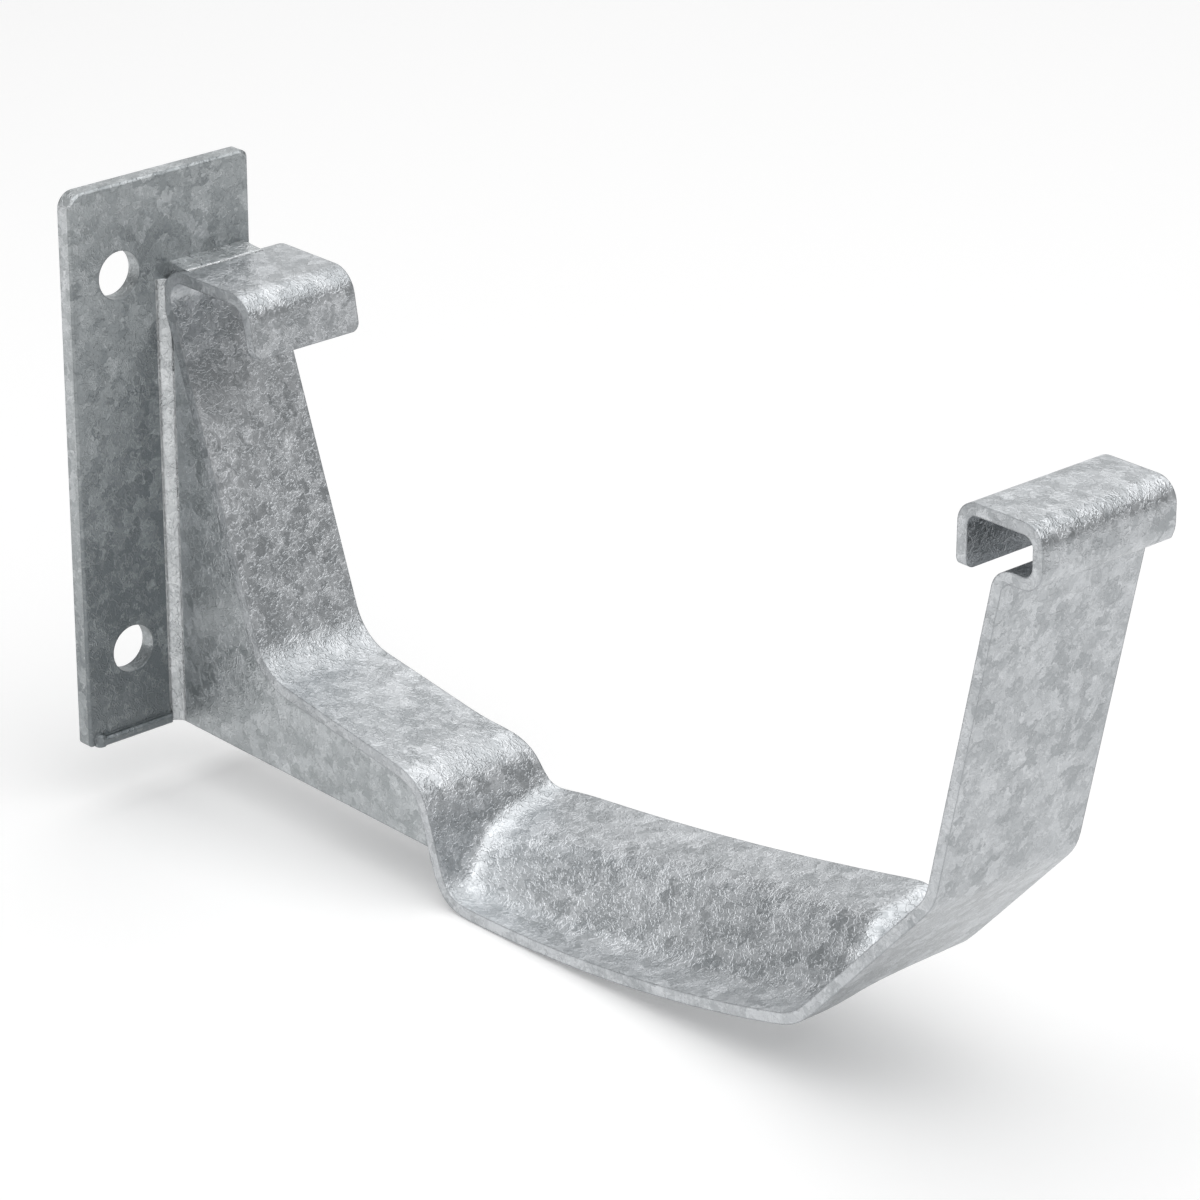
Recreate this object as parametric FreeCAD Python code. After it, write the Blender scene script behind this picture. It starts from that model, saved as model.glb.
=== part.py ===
import FreeCAD, Part
import math
import os
from FreeCAD import Vector

os.makedirs("parts", exist_ok=True)

# All lengths are millimetres. X points away from the wall, Y runs along the wall to the
# far side, Z points up. The origin lies on the wall, midway between the two fixing holes.
# Heights in the side view are counted from the plate's foot, and reaches from its face.

# wall plate
plate_t = 3.0
plate_h = 100.0
plate_near_y = -10.0
plate_far_y = 28.0
plate_near_top_r = 3.0
plate_near_foot_r = 0.8
plate_far_r = 1.5
plate_edge_chamfer = 0.4
hole_d = 8.5
hole_spacing = 68.0
foot_lip_h = 1.7
foot_lip_depth = 1.1
foot_lip_chamfer = 0.4
foot_lip_start = 2.2
foot_knob_r = 1.0
foot_knob_h = 2.2

# strap, bent from one strip; widths are counted from its near edge
sheet_t = 2.0
strap_near_y = 9.0
projection = 202.7
wall_width = 22.4
step_width = 28.3
trough_width = 31.0
hook_width = 28.0
widen_start = 60.0
widen_end = 71.5
widen_full = 165.0
widen_blend = 6.0
narrow_start = 84.5
narrow_end = 88.5
narrow_r = 2.0
corner_r = 1.6

# rear hook
rear_hook_top = 83.6
rear_hook_reach = 23.0
rear_lip_length = 9.7
rear_lip_lean = 10.5
rear_back_r = 4.5
rear_front_r = 4.0

# back wall and upper floor of the cradle
back_lean = 20.4
back_foot_r = 11.0
floor_fall = 8.4
step_x = 64.7
step_z = 9.8
step_lean = 18.3
step_top_r = 6.0
step_foot_r = 5.0

# curved trough
trough_low_x = 78.0
trough_low_z = -9.7
trough_r = 290.0
trough_end_back = 2.9

# far side of the trough, pressed up on a flatter curve above a narrow band at the near edge
band_start_width = 5.0
band_width = 9.0
band_start_x = 72.0
band_full_x = 115.0
ramp_angle = 47.0
pad_angle = 11.0
rim_r = 620.0
rim_low_x = 25.4
rim_low_z = -0.2
pad_end_start = 0.4
pad_end_run = 2.6
press_step = 3.5
lane_counts = (2, 3, 3)

# front fold, chamfer and upright
fold_r = 8.0
chamfer_angle = 47.4
upright_back = 20.2
upright_foot_z = 31.1
upright_foot_r = 9.0
upright_lean = 11.8
jog_z = 87.7
jog_r = 3.0

# front hook
front_hook_top = 97.2
front_hook_length = 16.9
front_lip_end = 86.4
front_hook_r = 2.8

# web and welds
web_t = 2.0
web_inset = 0.4
web_fall = 0.95
weld_leg = 2.0
web_weld_top = 81.4
strap_weld_rise = 0.5
strap_weld_inset = 1.4

# worked out; deep is how far the trimming cut runs past the strap
half_t = sheet_t / 2
foot_z = -plate_h / 2
web_y = strap_near_y + web_inset
deep = 60.0


def at(x, z):
    """Point in the side view, from the plate's front face and foot."""
    return Vector(plate_t + x, 0, foot_z + z)


def run(angle, length):
    """Step of the given length at an angle above the level, outwards."""
    a = math.radians(angle)
    return Vector(length * math.cos(a), 0, length * math.sin(a))


def meet(p, u, q, v):
    """Where the line through p along u crosses the line through q along v."""
    k = ((q.x - p.x) * v.z - (q.z - p.z) * v.x) / (u.x * v.z - u.z * v.x)
    return p + u * k


def left_of(p, q):
    """Unit vector to the left of the way from p to q, in the side view."""
    d = (q - p).normalize()
    return Vector(-d.z, 0, d.x)


def shifted(points, d):
    """The bent line moved by d to its left."""
    out = [points[0] + left_of(points[0], points[1]) * d]
    for a, b, c in zip(points, points[1:], points[2:]):
        out.append(meet(a + left_of(a, b) * d, b - a, b + left_of(b, c) * d, c - b))
    out.append(points[-1] + left_of(points[-2], points[-1]) * d)
    return out


def rounded(points, radii):
    """Edges of a bent line, with an arc of its own radius at each inner point."""
    edges = []
    start = points[0]
    for a, b, c, r in zip(points, points[1:], points[2:], radii):
        u = (a - b).normalize()
        v = (c - b).normalize()
        half = u.getAngle(v) / 2
        reach = r / math.tan(half)
        centre = b + (u + v).normalize() * (r / math.sin(half))
        middle = centre + (b - centre).normalize() * r
        edges.append(Part.makeLine(start, b + u * reach))
        edges.append(Part.Arc(b + u * reach, middle, b + v * reach).toShape())
        start = b + v * reach
    edges.append(Part.makeLine(start, points[-1]))
    return edges


def sheet_side(points, radii, d):
    """The bent line moved by d to its left, with its bend radii changed to suit."""
    adjusted = []
    for a, b, c, r in zip(points, points[1:], points[2:], radii):
        turn = math.copysign(1, left_of(a, b).dot(c - b))
        adjusted.append(r - turn * d)
    return rounded(shifted(points, d), adjusted)


def arc_end(centre, radius, q, v):
    """Point of a hanging arc a little before the line through q along v crosses it."""
    off = q - centre
    along = off.dot(v)
    crossing = q - v * (along + math.sqrt(along ** 2 - off.dot(off) + radius ** 2))
    turn = math.asin((crossing.x - trough_end_back - centre.x) / radius)
    return centre + run(math.degrees(turn) - 90, radius)


def closed(edges, *corners):
    """Face bounded by a chain of edges and the straight lines through the corners."""
    stops = [edges[-1].Vertexes[-1].Point, *corners, edges[0].Vertexes[0].Point]
    lines = [Part.makeLine(p, q) for p, q in zip(stops, stops[1:])]
    return Part.Face(Part.Wire(edges + lines))


def across(face, start, width):
    """Solid of a side view face, from start on and as wide as given along Y."""
    return face.extrude(Vector(0, width, 0)).translated(Vector(0, start, 0))


def bent_sheet(points, radii, width):
    """Sheet of even thickness bent along its middle line."""
    left = sheet_side(points, radii, half_t)
    right = sheet_side(points, radii, -half_t)
    ends = [Part.makeLine(left[i].Vertexes[i].Point, right[i].Vertexes[i].Point) for i in (0, -1)]
    face = Part.Face(Part.Wire(Part.__sortEdges__(left + right + ends)))
    return across(face, strap_near_y, width)


def corners_off(sheet, tip):
    """The sheet with the two corners of its tip rounded."""
    corners = []
    for edge in sheet.Edges:
        middle = edge.CenterOfMass
        across_sheet = abs(edge.Vertexes[0].Y - edge.Vertexes[-1].Y) < half_t
        if across_sheet and (Vector(middle.x, 0, middle.z) - tip).Length < half_t / 2:
            corners.append(edge)
    return sheet.makeFillet(corner_r, corners)


back_line_top = at(rear_back_r + half_t, rear_hook_top - half_t)
back_half_angle = math.radians((90 - back_lean) / 2)
back_corner = back_line_top - Vector(rear_back_r / math.tan(back_half_angle), 0, 0)
step_corner = at(step_x, step_z)
step_way = run(step_lean - 90, 1)
trough_low = at(trough_low_x, trough_low_z)
back_foot = meet(back_corner, run(back_lean - 90, 1), step_corner, run(-floor_fall, 1))
step_foot = meet(step_corner, step_way, trough_low, run(0, 1))
upright_foot = at(projection - upright_back, upright_foot_z)
trough_axis = trough_low + Vector(0, 0, trough_r)
trough_end = arc_end(trough_axis, trough_r, upright_foot, run(chamfer_angle, 1))
trough_turn = 90 - math.degrees(math.asin((trough_axis.z - trough_end.z) / trough_r))
trough_middle = trough_axis + run(trough_turn / 2 - 90, trough_r)
fold = meet(trough_end, run(trough_turn, 1), upright_foot, run(chamfer_angle, 1))
rear_join = (back_foot + step_corner) / 2
front_join = (fold + upright_foot) / 2


def rear_part():
    """Rear hook, back wall and the start of the upper floor."""
    lip_top = at(rear_hook_reach - half_t, rear_hook_top - half_t)
    lip_end = lip_top + run(rear_lip_lean - 90, rear_lip_length)
    points = [lip_end, lip_top, back_corner, back_foot, rear_join]
    radii = [rear_front_r, rear_back_r, back_foot_r]
    return corners_off(bent_sheet(points, radii, wall_width), lip_end)


def front_part():
    """End of the chamfer, upright, jog and front hook."""
    jog = meet(upright_foot, run(90 - upright_lean, 1), at(0, jog_z), run(0, 1))
    face_x = projection - half_t
    back_x = projection - front_hook_length + half_t
    top_z = front_hook_top - half_t
    lip_end = at(back_x, front_lip_end)
    points = [front_join, upright_foot, jog, at(face_x, jog_z), at(face_x, top_z), at(back_x, top_z)]
    radii = [upright_foot_r, jog_r, front_hook_r, front_hook_r, front_hook_r]
    sheet = bent_sheet(points + [lip_end], radii, trough_width)
    return corners_off(sheet.cut(front_trim()), lip_end)


def eased(v, blend):
    """Zero below zero and v above it, with a parabola between them."""
    if v <= -blend:
        return 0
    return v if v >= blend else (v + blend) ** 2 / (4 * blend)


def ramped(v, start, end, rise, blend):
    """Zero before start and rise after end, with a straight climb eased at both ends."""
    return rise / (end - start) * (eased(v - start, blend) - eased(v - end, blend))


def cradle_width(x):
    """Width of the cradle at a distance from the plate's face."""
    at_step = ramped(x, widen_start, widen_end, step_width - wall_width, widen_blend)
    past_step = ramped(x, widen_end, widen_full, trough_width - step_width, widen_blend)
    return wall_width + at_step + past_step


def press_outline(x):
    """Shares of the width and rises at the near edge, the band's edge, the ridge and the rim."""
    width = cradle_width(x)
    ramp_slope = math.tan(math.radians(ramp_angle))
    pad_slope = math.tan(math.radians(pad_angle))
    band = band_start_width
    band += ramped(x, band_start_x, band_full_x, band_width - band_start_width, widen_blend)
    trough_z = trough_low_z + trough_r - math.sqrt(trough_r ** 2 - (x - trough_low_x) ** 2)
    rim = rim_low_z + (x - rim_low_x) ** 2 / (2 * rim_r) - trough_z
    ridge = (rim - width * pad_slope + band * ramp_slope) / (ramp_slope - pad_slope)
    return [(0, 0), (band / width, 0), (ridge / width, (ridge - band) * ramp_slope), (1, rim)]


def press_lanes(x):
    """Shares of the width and rises of all the lanes drawn along the cradle."""
    stops = press_outline(x)
    lanes = []
    for (share, rise), (next_share, next_rise), count in zip(stops, stops[1:], lane_counts):
        for k in range(count):
            t = k / count
            lanes.append((share + (next_share - share) * t, rise + (next_rise - rise) * t))
    return lanes + [stops[-1]]


def step_height(d):
    """Height of the step's riser and foot bend above the trough, d beyond the riser's foot."""
    turn = math.radians(90 - step_lean)
    reach = step_foot_r * math.tan(turn / 2)
    if d >= reach:
        return 0
    if d <= -reach * math.cos(turn):
        return -d * math.tan(turn)
    return step_foot_r - math.sqrt(step_foot_r ** 2 - (d - reach) ** 2)


def lift(p, rise):
    """How far the press raises the strap at a point of its middle line, for a lane's rise."""
    d = p.x - step_foot.x
    moved = rise * math.tan(math.radians(step_lean))
    end_x = fold.x + pad_end_start
    end = ramped(p.x, end_x, end_x + pad_end_run, 1, pad_end_run / 2)
    return (rise + step_height(d + moved) - step_height(d)) * (1 - end)


def middle_line():
    """Middle of the sheet at the near edge, from the upper floor to the chamfer."""
    step = rounded([rear_join, step_corner, step_foot, trough_low], [step_top_r, step_foot_r])
    trough = Part.Arc(trough_low, trough_middle, trough_end).toShape()
    return Part.Wire(step + [trough] + rounded([trough_end, fold, front_join], [fold_r]))


def smooth_face(poles):
    """Cubic face drawn by a grid of poles, held at its four borders."""
    degree = 3
    spans = [len(poles) - degree, len(poles[0]) - degree]
    mults = [[degree + 1] + [1] * (n - 1) + [degree + 1] for n in spans]
    knots = [list(range(n + 1)) for n in spans]
    surface = Part.BSplineSurface()
    surface.buildFromPolesMultsKnots(poles, *mults, *knots, False, False, degree, degree)
    return surface


def side_poles(middle, d):
    """Poles of one side of the sheet: the middle grid moved by d along its own normals."""
    poles = []
    for i, row in enumerate(middle):
        before = middle[max(i - 1, 0)]
        after = middle[min(i + 1, len(middle) - 1)]
        moved = []
        for j, p in enumerate(row):
            along = after[j] - before[j]
            over = row[min(j + 1, len(row) - 1)] - row[max(j - 1, 0)]
            moved.append(p + along.cross(over).normalize() * d)
        poles.append(moved)
    return poles


def pressed_part():
    """Upper floor, step, trough and chamfer, with the raised far side."""
    line = middle_line()
    middle = []
    for p in line.discretize(Number=round(line.Length / press_step)):
        width = cradle_width(p.x - plate_t)
        lanes = press_lanes(min(max(p.x, step_foot.x), fold.x) - plate_t)
        middle.append([p + Vector(0, strap_near_y + a * width, lift(p, rise)) for a, rise in lanes])
    top, bottom = [smooth_face(side_poles(middle, d)) for d in (half_t, -half_t)]
    first_u, last_u, first_v, last_v = top.bounds()
    rims = [(top.uIso(u), bottom.uIso(u)) for u in (first_u, last_u)]
    rims += [(top.vIso(v), bottom.vIso(v)) for v in (first_v, last_v)]
    sides = [Part.makeRuledSurface(a.toShape(), b.toShape()) for a, b in rims]
    skin = Part.Shell([top.toShape(), bottom.toShape()] + sides)
    skin.sewShape()
    return Part.Solid(skin)


def front_trim():
    """What is left out beside the front hook, narrower than the upright below it."""
    points = [Vector(trough_width, 0, 0), Vector(trough_width, 0, narrow_start)]
    points += [Vector(hook_width, 0, narrow_end), Vector(hook_width, 0, 2 * deep)]
    corners = [Vector(deep, 0, 2 * deep), Vector(deep, 0, 0)]
    outline = closed(rounded(points, [narrow_r, narrow_r]), *corners)
    outline.rotate(Vector(0, 0, 0), Vector(0, 0, 1), 90)
    outline.translate(front_join + Vector(0, strap_near_y, foot_z - front_join.z))
    return outline.extrude(Vector(deep, 0, 0))


def cradle_strap():
    """The whole strap in one piece, from the rear lip to the front lip."""
    return rear_part().fuse([pressed_part(), front_part()]).removeSplitter()


def plate_outline():
    """Edges of the wall plate's outline, seen from the front, from the middle of its foot."""
    start = Vector((plate_near_y + plate_far_y) / 2, 0, foot_z)
    corners = [Vector(plate_far_y, 0, foot_z), Vector(plate_far_y, 0, -foot_z)]
    corners += [Vector(plate_near_y, 0, -foot_z), Vector(plate_near_y, 0, foot_z)]
    radii = [plate_far_r, plate_far_r, plate_near_top_r, plate_near_foot_r]
    return rounded([start] + corners + [start], radii)


def wall_plate():
    """Plate against the wall, with two fixing holes and a small lip along its foot."""
    face = Part.Face(Part.Wire(plate_outline()))
    face.rotate(Vector(0, 0, 0), Vector(0, 0, 1), 90)
    plate = face.extrude(Vector(plate_t, 0, 0))
    border = [e for e in plate.Edges if min(v.X for v in e.Vertexes) > plate_t / 2]
    plate = plate.makeChamfer(plate_edge_chamfer, border)
    for z in (-hole_spacing / 2, hole_spacing / 2):
        plate = plate.cut(Part.makeCylinder(hole_d / 2, plate_t, Vector(0, 0, z), Vector(1, 0, 0)))
    lip_y = plate_near_y + foot_lip_start
    lip_length = web_y - weld_leg - lip_y
    lip_box = Part.makeBox(foot_lip_depth + plate_t / 2, lip_length, foot_lip_h)
    lip = lip_box.translated(Vector(plate_t / 2, lip_y, foot_z))
    outer = [e for e in lip.Edges if min(v.X for v in e.Vertexes) > plate_t]
    lip = lip.makeChamfer(foot_lip_chamfer, outer)
    knob = Part.makeCylinder(foot_knob_r, foot_knob_h, Vector(plate_t, lip_y, foot_z))
    knob = knob.makeChamfer(foot_lip_chamfer, [e for e in knob.Edges if e.BoundBox.ZMin > foot_z])
    return plate.fuse([lip, knob]).removeSplitter()


def web(strap):
    """Flat web standing on the plate, cut to the underside of the strap."""
    touch = at(0, rear_hook_top - half_t - rear_back_r)
    wall_side = touch + Vector(half_t, 0, 0)
    back_way = (back_foot - back_corner).normalize()
    wall_start = back_corner + back_way * (rear_back_r / math.tan(back_half_angle))
    riser_end = meet(step_corner, step_way, at(0, 0), run(-web_fall, 1))
    edges = rounded([wall_start, back_foot, step_corner, riser_end], [back_foot_r, step_top_r])
    face = closed(edges, at(0, 0), touch, wall_side)
    return across(face, web_y, web_t).cut(strap)


def web_weld(strap, bead):
    """Hollow weld between the plate and the near face of the web."""
    corner = Vector(plate_t, web_y, foot_z)
    hollow = corner + Vector(weld_leg, -weld_leg, 0)
    a = corner + Vector(weld_leg, 0, 0)
    b = corner + Vector(0, -weld_leg, 0)
    middle = hollow + (corner - hollow).normalize() * weld_leg
    arc = Part.Arc(a, middle, b).toShape()
    face = Part.Face(Part.Wire([arc, Part.makeLine(b, corner), Part.makeLine(corner, a)]))
    return face.extrude(Vector(0, 0, web_weld_top)).cut([strap, bead])


def strap_weld(strap):
    """Weld along the groove between the plate and the strap's rear bend."""
    low = at(0, rear_hook_top - half_t - rear_back_r)
    top = at(0, rear_hook_top + strap_weld_rise)
    reach = at(rear_back_r + half_t, rear_hook_top)
    lines = [Part.makeLine(low, top), Part.makeLine(top, reach), Part.makeLine(reach, low)]
    start = strap_near_y + strap_weld_inset
    length = plate_far_y - plate_far_r - start
    return across(Part.Face(Part.Wire(lines)), start, length).cut(strap)


strap = cradle_strap()
bead = strap_weld(strap)
parts = {
    "wall_plate": wall_plate(),
    "cradle_strap": strap,
    "support_web": web(strap),
    "web_weld": web_weld(strap, bead),
    "strap_weld": bead,
}
for name, shape in parts.items():
    (solid,) = shape.Solids
    solid.exportStep(f"parts/{name}.step")
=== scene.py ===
import math

import bpy
from mathutils import Matrix, Vector


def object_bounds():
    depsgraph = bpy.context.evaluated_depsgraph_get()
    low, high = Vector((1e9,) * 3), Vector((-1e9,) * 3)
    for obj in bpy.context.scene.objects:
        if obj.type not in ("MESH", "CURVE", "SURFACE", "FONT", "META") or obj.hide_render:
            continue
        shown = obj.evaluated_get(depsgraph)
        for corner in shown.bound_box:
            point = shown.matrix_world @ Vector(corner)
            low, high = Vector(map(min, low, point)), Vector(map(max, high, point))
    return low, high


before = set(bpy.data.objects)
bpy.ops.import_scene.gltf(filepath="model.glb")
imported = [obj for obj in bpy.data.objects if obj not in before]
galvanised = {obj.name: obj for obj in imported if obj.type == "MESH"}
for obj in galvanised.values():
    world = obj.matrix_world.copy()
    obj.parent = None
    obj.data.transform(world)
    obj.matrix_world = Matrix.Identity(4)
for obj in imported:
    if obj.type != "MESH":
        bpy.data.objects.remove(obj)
cad_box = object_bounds()


# Wall plate: a flat piece of 3 mm steel with two round holes, screwed to the wall. The whole
# bracket was dipped in molten zinc after it was welded, and the zinc froze in flakes of light
# and dull grey a few millimetres across, with fine wrinkles between them.

class Flow:
    """A value on its way through a material's nodes. Sums and products add nodes."""

    def __init__(self, tree, socket=None):
        self.tree = tree
        self.socket = socket

    def node(self, kind, settings, inputs, output=0):
        """Adds a node: its settings first, then a value or a flow for each socket."""
        made = self.tree.nodes.new(kind)
        for name, value in settings.items():
            if name == "stops":
                ends = made.color_ramp.elements
                while len(ends) < len(value):
                    ends.new(1.0)
                for end, (place, shade) in zip(ends, value):
                    end.position = place
                    end.color = (*shade, 1.0)
            else:
                setattr(made, name, value)
        for name, value in inputs.items():
            if isinstance(value, Flow):
                self.tree.links.new(value.socket, made.inputs[name])
            else:
                made.inputs[name].default_value = value
        return Flow(self.tree, made.outputs[output] if made.outputs else None)

    def sum(self, operation, first, second):
        return self.node("ShaderNodeMath", {"operation": operation}, {0: first, 1: second})

    def __add__(self, other):
        return self.sum("ADD", self, other)

    def __mul__(self, other):
        return self.sum("MULTIPLY", self, other)

    def __sub__(self, other):
        return self.sum("SUBTRACT", self, other)

    def __rmul__(self, other):
        return self.sum("MULTIPLY", other, self)

    def __rsub__(self, other):
        return self.sum("SUBTRACT", other, self)

    def unsigned(self):
        """The value without its sign."""
        return self.node("ShaderNodeMath", {"operation": "ABSOLUTE"}, {0: self})

    def spread(self, start, end, first, last, easing="LINEAR"):
        """Runs from first to last as the value goes from start to end."""
        ends = {"From Min": start, "From Max": end, "To Min": first, "To Max": last}
        settings = {"interpolation_type": easing}
        return self.node("ShaderNodeMapRange", settings, {"Value": self, **ends})


def frozen_zinc(
    name, dull, light, start,
    smoothness=0.0, painted_edge_light=0.05, painted_corner_shade=0.7, painted_shade_from=0.0, painted_shade_lift=0.0,
):
    """Zinc coat that froze in flakes, from the dull to the light grey given.

    The pattern is moved by start, so that no two coats are alike. Faces turned along Y, such
    as the sheet's cut edges, are lighter by painted_edge_light, a painted highlight, and its
    corners, outside and inside, darker by painted_corner_shade, painted shade lines. The coat is
    painted lighter upwards from the height painted_shade_from, by painted_shade_lift for each
    metre, as painted shade that deepens towards the table.
    """
    bright = (0.86, 0.88, 0.90)
    dull_stop, light_stop, bright_stop = 0.36, 0.62, 0.98
    cloud_mm, blotch_mm, fold_mm, grit_mm = 16.0, 3.2, 1.9, 0.7
    flakes_per_metre = 420.0
    sways_per_metre = 700.0
    sway_reach = 0.004
    fold_width = 0.07
    edge_radius = 0.0004
    # Reach of the painted dark corner lines and of the painted edge highlight.
    corner_shade_start, corner_shade_end = 0.98, 0.85
    painted_edge_start, painted_edge_end = 0.9, 0.97
    cloud_tone, blotch_tone, flake_tone, wrinkle_tone, grit_tone = 0.22, 0.32, 0.20, 0.10, 0.18
    plain_rough, blotch_rough, flake_rough = 0.25, 0.16, 0.08
    wrinkle_height, grit_height, blotch_height = 0.45, 0.6, 0.7
    relief, relief_depth = 0.5, 0.00025

    coat = bpy.data.materials.new(name)
    coat.use_nodes = True
    tree = coat.node_tree
    metal = tree.nodes["Principled BSDF"]
    metal.inputs["Metallic"].default_value = 0.9
    metal.inputs["Specular IOR Level"].default_value = 0.4
    place = Flow(tree).node("ShaderNodeTexCoord", {}, {}, "Object")
    rise = place.node("ShaderNodeSeparateXYZ", {}, {"Vector": place}, "Z")
    place = place.node("ShaderNodeMapping", {}, {"Vector": place, "Location": start})

    def grain(size_mm, detail, spot):
        scale = 1000 / size_mm
        return spot.node("ShaderNodeTexNoise", {}, {"Vector": spot, "Scale": scale, "Detail": detail})

    # The pattern's place sways a little, which gives the flakes their ragged borders.
    sway_inputs = {"Vector": place, "Scale": sways_per_metre, "Detail": 2.0}
    sway = place.node("ShaderNodeTexNoise", {}, sway_inputs, "Color")
    sway = place.node("ShaderNodeVectorMath", {"operation": "SUBTRACT"}, {0: sway, 1: (0.5, 0.5, 0.5)})
    reach = (sway_reach, sway_reach, sway_reach)
    swayed = place.node("ShaderNodeVectorMath", {"operation": "MULTIPLY_ADD"}, {0: sway, 1: reach, 2: place})
    flake = swayed.node("ShaderNodeTexVoronoi", {}, {"Vector": swayed, "Scale": flakes_per_metre}, "Color")
    flake = flake.node("ShaderNodeSeparateColor", {}, {"Color": flake}, "Red")
    cloud = grain(cloud_mm, 2.0, place)
    blotch = grain(blotch_mm, 3.0, swayed)
    grit = grain(grit_mm, 2.0, swayed)
    fold = (grain(fold_mm, 1.0, swayed) - 0.5).unsigned()
    wrinkle = fold.spread(0.0, fold_width, 1.0, 0.0, easing="SMOOTHSTEP")

    # The edges are square in the mesh, so their rounding is in the shading.
    worn = place.node("ShaderNodeBevel", {"samples": 4}, {"Radius": edge_radius})
    flat = place.node("ShaderNodeNewGeometry", {}, {}, "Normal")
    square = flat.node("ShaderNodeVectorMath", {"operation": "DOT_PRODUCT"}, {0: worn, 1: flat}, "Value")
    # Painted shade: a thin dark line painted along every corner, outside and inside, where the rounded
    # normal leaves the flat one.
    corner = square.spread(corner_shade_start, corner_shade_end, 0.0, 1.0, easing="SMOOTHSTEP")
    # Painted highlight: faces turned along Y, the sheet's cut edges among them, are painted lighter.
    across = flat.node("ShaderNodeSeparateXYZ", {}, {"Vector": flat}, "Y").unsigned()
    painted_edge_mask = across.spread(painted_edge_start, painted_edge_end, 0.0, 1.0)

    tone = cloud * cloud_tone + blotch * blotch_tone + flake * flake_tone
    tone = tone + wrinkle * wrinkle_tone + grit * grit_tone
    # Painted light and shade: the edge highlight, the dark corner lines, and the coat painted darker
    # downwards.
    tone = tone + (painted_edge_mask * painted_edge_light - corner * painted_corner_shade) + (rise - painted_shade_from) * painted_shade_lift
    stops = [(dull_stop, dull), (light_stop, light), (bright_stop, bright)]
    shade = tone.node("ShaderNodeValToRGB", {"stops": stops}, {"Fac": tone})
    tree.links.new(shade.socket, metal.inputs["Base Color"])
    rough = blotch * blotch_rough + flake * flake_rough + (plain_rough - smoothness)
    tree.links.new(rough.socket, metal.inputs["Roughness"])
    height = wrinkle * wrinkle_height + grit * grit_height + blotch * blotch_height
    bump_inputs = {"Strength": relief, "Distance": relief_depth, "Height": height, "Normal": worn}
    bump = height.node("ShaderNodeBump", {}, bump_inputs)
    tree.links.new(bump.socket, metal.inputs["Normal"])
    return coat


# The plate's zinc is painted darker than the web's and strap's: painted shade for the dark table and strap
# it mirrors.
shaded_plate_zinc = frozen_zinc(
    "shaded_plate_zinc", dull=(0.23, 0.25, 0.26), light=(0.44, 0.465, 0.475), start=(0.11, 0.07, 0.03),
    # Painted: a highlight on its sideways faces, faint dark corner lines, and shade darker towards the
    # bottom.
    painted_edge_light=0.16, painted_corner_shade=0.12, painted_shade_from=0.01, painted_shade_lift=2.4,
)
galvanised["wall_plate"].data.materials[0] = shaded_plate_zinc


# Web: a flat sheet of 2 mm steel stood on edge between the plate and the strap, and welded to
# the plate. Its zinc is lighter than the plate's, whose darker tone is painted shade, and it is
# painted darker towards the bottom as painted shade, with dark lines painted along its corners.

web_zinc = frozen_zinc(
    "web_zinc", dull=(0.40, 0.425, 0.435), light=(0.65, 0.675, 0.69), start=(0.31, 0.17, 0.23),
    painted_edge_light=0.0, painted_corner_shade=0.3, painted_shade_from=-0.035, painted_shade_lift=2.5,
)
galvanised["support_web"].data.materials[0] = web_zinc


# Cradle strap: one strip of 2 mm steel, bent into the rear hook, the cradle and the front
# hook, with the far side of its trough pressed up.

# The strap keeps the default painted edge highlight and painted dark lines along its corners.
strap_zinc = frozen_zinc(
    "strap_zinc", dull=(0.39, 0.41, 0.425), light=(0.66, 0.68, 0.70), start=(0.53, 0.41, 0.37)
)
galvanised["cradle_strap"].data.materials[0] = strap_zinc


# Welds: a hollow bead down the corner of the plate and the web, and a thin one in the groove
# over the strap's rear bend. The zinc ran smooth and bright over both.

# Only faint painted dark lines at the beads' corners, and no painted edge highlight.
weld_zinc = frozen_zinc(
    "weld_zinc", dull=(0.50, 0.52, 0.53), light=(0.76, 0.78, 0.79), start=(0.71, 0.61, 0.47),
    smoothness=0.06, painted_edge_light=0.0, painted_corner_shade=0.1,
)
for bead in ("web_weld", "strap_weld"):
    galvanised[bead].data.materials[0] = weld_zinc


# Studio: a white table that the bracket's trough rests on, one large soft box overhead and two
# small ones behind the wall plate, and white all round.

table_size = 30.0
table_gap = 0.0002
table_grey = 0.8
table_glow_seen = 0.25
table_glow_mirrored = 0.20
room_seen = 0.85
room_mirrored = 0.21
room_light = 0.15
white = (1.0, 1.0, 1.0, 1.0)

lowest = cad_box[0][2]
bpy.ops.mesh.primitive_plane_add(size=table_size, location=(0.0, 0.0, lowest - table_gap))
table = bpy.context.object
table.name = "studio_table"
table_white = bpy.data.materials.new("table_white")
table_white.use_nodes = True
table_white.node_tree.nodes.clear()
paint = Flow(table_white.node_tree)
seen = paint.node("ShaderNodeLightPath", {}, {}, "Is Camera Ray")
mirrored = paint.node("ShaderNodeLightPath", {}, {}, "Is Glossy Ray")
strength = table_glow_seen * seen + table_glow_mirrored * mirrored
glow = paint.node("ShaderNodeEmission", {}, {"Color": white, "Strength": strength})
matt = paint.node("ShaderNodeBsdfDiffuse", {}, {"Color": (table_grey, table_grey, table_grey, 1.0)})
both = paint.node("ShaderNodeAddShader", {}, {0: glow, 1: matt})
paint.node("ShaderNodeOutputMaterial", {}, {"Surface": both})
table.data.materials.append(table_white)

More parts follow.
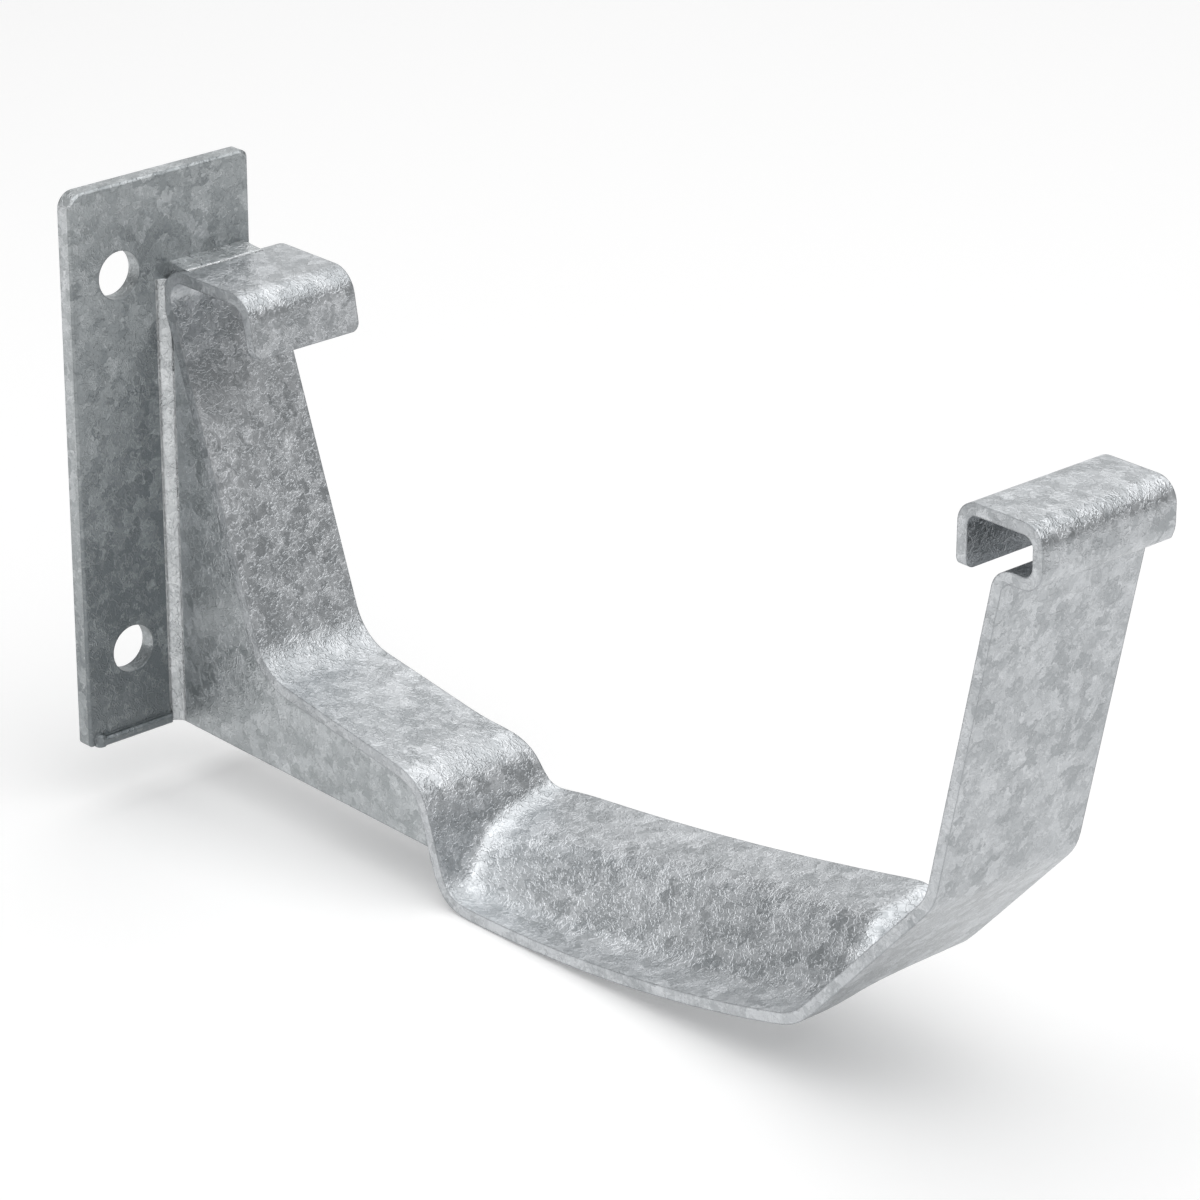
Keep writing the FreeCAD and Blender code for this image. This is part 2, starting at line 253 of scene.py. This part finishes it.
room = bpy.data.worlds.new("white_room")
bpy.context.scene.world = room
room.use_nodes = True
room.node_tree.nodes.clear()
air = Flow(room.node_tree)
seen = air.node("ShaderNodeLightPath", {}, {}, "Is Camera Ray")
mirrored = air.node("ShaderNodeLightPath", {}, {}, "Is Glossy Ray")
strength = room_seen * seen + room_mirrored * mirrored + room_light
sky = air.node("ShaderNodeBackground", {}, {"Color": white, "Strength": strength})
air.node("ShaderNodeOutputWorld", {}, {"Surface": sky})

cradle_middle = Vector((0.1, 0.0, -0.01))


def soft_box(name, place, size, power):
    """Square lamp at a place in metres, facing the cradle."""
    lamp = bpy.data.lights.new(name, "AREA")
    lamp.shape = "SQUARE"
    lamp.size = size
    lamp.energy = power
    box = bpy.data.objects.new(name, lamp)
    box.location = place
    aim = cradle_middle - Vector(place)
    box.rotation_euler = aim.to_track_quat("-Z", "Y").to_euler()
    bpy.context.collection.objects.link(box)


soft_box("overhead_box", place=(0.22, 0.0, 0.9), size=1.8, power=15.8)
soft_box("rear_box", place=(-0.7, 0.8, 0.35), size=0.8, power=1.2)
soft_box("near_box", place=(-0.6, -0.9, 0.3), size=0.6, power=0.7)


# Camera: it stands in front of the bracket's near side, turned 48 degrees from square to the
# wall and looking 23 degrees down, with a long lens.

camera_heading = 47.796
camera_pitch = 23.068
camera_place = Vector((0.6671, -0.4938, 0.3258))
film_width = 36.0
focal_share = 4.349
nearest_seen = 0.01

heading = math.radians(camera_heading)
pitch = math.radians(camera_pitch)
level = Vector((-math.sin(heading), math.cos(heading), 0.0))
look = level * math.cos(pitch) - Vector((0.0, 0.0, math.sin(pitch)))
right = Vector((math.cos(heading), math.sin(heading), 0.0))
over = right.cross(look)
lens = bpy.data.cameras.new("camera")
lens.sensor_width = film_width
lens.lens = film_width * focal_share
lens.clip_start = nearest_seen
camera = bpy.data.objects.new("camera", lens)
turn = Matrix((right, over, -look)).transposed().to_4x4()
camera.matrix_world = Matrix.Translation(camera_place) @ turn
bpy.context.collection.objects.link(camera)
scene = bpy.context.scene
scene.camera = camera
scene.view_settings.view_transform = "Standard"
